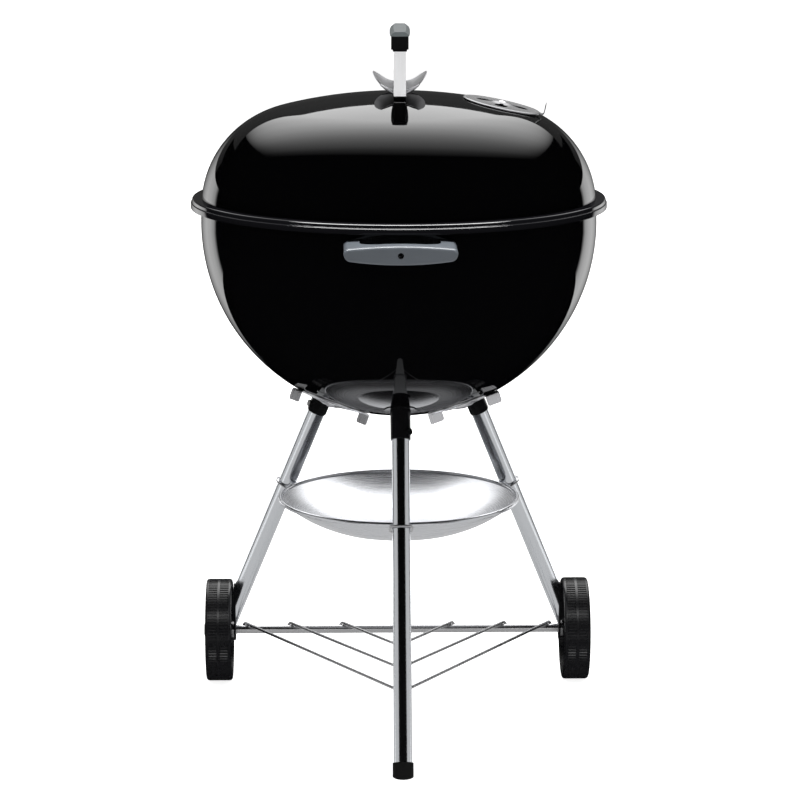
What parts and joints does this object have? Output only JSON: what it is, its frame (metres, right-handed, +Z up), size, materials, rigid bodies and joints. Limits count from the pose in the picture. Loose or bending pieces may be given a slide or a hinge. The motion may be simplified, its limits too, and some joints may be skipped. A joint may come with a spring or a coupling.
{
  "type": "kettle charcoal grill",
  "caption": "Round enamelled kettle grill with a lift-off lid, bottom dampers, ash pan, two wheels and a wire rack on three tube legs.",
  "frame": {"origin": "on the ground, straight below the kettle axis", "axes": "+Z up, the front handle and the single front leg at -Y, the axle along X"},
  "size_m": [0.588, 0.6952, 0.986],
  "materials": {
    "enamel": "gloss black porcelain enamel",
    "black_paint": "satin black",
    "tube": "polished",
    "sheet_aluminium": "spun, satin",
    "steel": "bright",
    "zinc": "bright plated",
    "grate_steel": "plated wire",
    "grey_nylon": "satin",
    "black_nylon": "satin",
    "wheel_plastic": "satin",
    "rubber": "matt"
  },
  "bodies": {
    "stand": {"ash_pan": "sheet_aluminium", "axle": "zinc", "axle_cap_left": "black_nylon", "axle_cap_right": "black_nylon", "axle_insert_left": "black_nylon", "axle_insert_right": "black_nylon", "bowl": "enamel", "bowl_damper_rivets": "zinc", "bowl_handle_front": "grey_nylon", "bowl_handle_rear": "grey_nylon", "bowl_handle_screws": "zinc", "foot_cap": "rubber", "grate_bracket_left": "black_paint", "grate_bracket_rear": "black_paint", "grate_bracket_right": "black_paint", "leg_front": "tube", "leg_left": "tube", "leg_right": "tube", "leg_socket_front": "black_paint", "leg_socket_left": "black_paint", "leg_socket_right": "black_paint", "pan_clip_front": "zinc", "pan_clip_left": "zinc", "pan_clip_right": "zinc", "rack_screw": "zinc", "rack_spine": "zinc", "rack_wire_inner": "zinc", "rack_wire_middle": "zinc", "rack_wire_outer": "zinc", "socket_bolts": "black_paint", "wheel_washer_left": "zinc", "wheel_washer_right": "zinc"},
    "lid": {"lid": "enamel", "lid_damper_rivet": "zinc", "lid_handle_strap": "steel", "lid_handle_rivets": "zinc", "heat_shield": "steel", "shield_rivets": "zinc", "lid_grip_lower": "black_nylon", "lid_grip_upper": "grey_nylon", "lid_grip_screws": "zinc", "lid_hook": "steel"},
    "lid_damper": {"lid_damper": "sheet_aluminium"},
    "bowl_damper_right": {"bowl_damper_right": "sheet_aluminium"},
    "bowl_damper_left": {"bowl_damper_left": "sheet_aluminium"},
    "bowl_damper_rear": {"bowl_damper_rear": "sheet_aluminium"},
    "wheel_right": {"wheel_right": "wheel_plastic"},
    "wheel_left": {"wheel_left": "wheel_plastic"},
    "cooking_grate": {"cooking_grate": "grate_steel"},
    "charcoal_grate": {"charcoal_grate": "grate_steel"}
  },
  "joints": [
    {"name": "lid_lift", "type": "slide", "parent": "stand", "child": "lid", "axis": [0, 0, 1], "range_m": [0, 0.35]},
    {"name": "lid_damper_turn", "type": "hinge", "parent": "lid", "child": "lid_damper", "pos_m": [0.14441, -0.01518, 0.87997], "axis": [0.209, -0.022, 0.9777], "range_deg": [0, 45]},
    {"name": "bowl_damper_right_turn", "type": "hinge", "parent": "stand", "child": "bowl_damper_right", "pos_m": [0.09105, -0.05257, 0.45706], "axis": [0.3188, -0.1841, -0.9298], "range_deg": [0, 45]},
    {"name": "bowl_damper_left_turn", "type": "hinge", "parent": "stand", "child": "bowl_damper_left", "pos_m": [-0.09779, -0.04983, 0.45893], "axis": [-0.3424, -0.1745, -0.9232], "range_deg": [0, 45]},
    {"name": "bowl_damper_rear_turn", "type": "hinge", "parent": "stand", "child": "bowl_damper_rear", "pos_m": [0, 0.10514, 0.45706], "axis": [0, 0.3681, -0.9298], "range_deg": [0, 45]},
    {"name": "wheel_right_spin", "type": "hinge", "parent": "stand", "child": "wheel_right", "pos_m": [0.26635, 0.1363, 0.0762], "axis": [1, 0, 0], "continuous": true},
    {"name": "wheel_left_spin", "type": "hinge", "parent": "stand", "child": "wheel_left", "pos_m": [-0.26635, 0.1363, 0.0762], "axis": [1, 0, 0], "continuous": true},
    {"name": "cooking_grate_lift", "type": "slide", "parent": "stand", "child": "cooking_grate", "axis": [0, 0, 1], "range_m": [0, 0.03]},
    {"name": "charcoal_grate_lift", "type": "slide", "parent": "stand", "child": "charcoal_grate", "axis": [0, 0, 1], "range_m": [0, 0.12]}
  ]
}
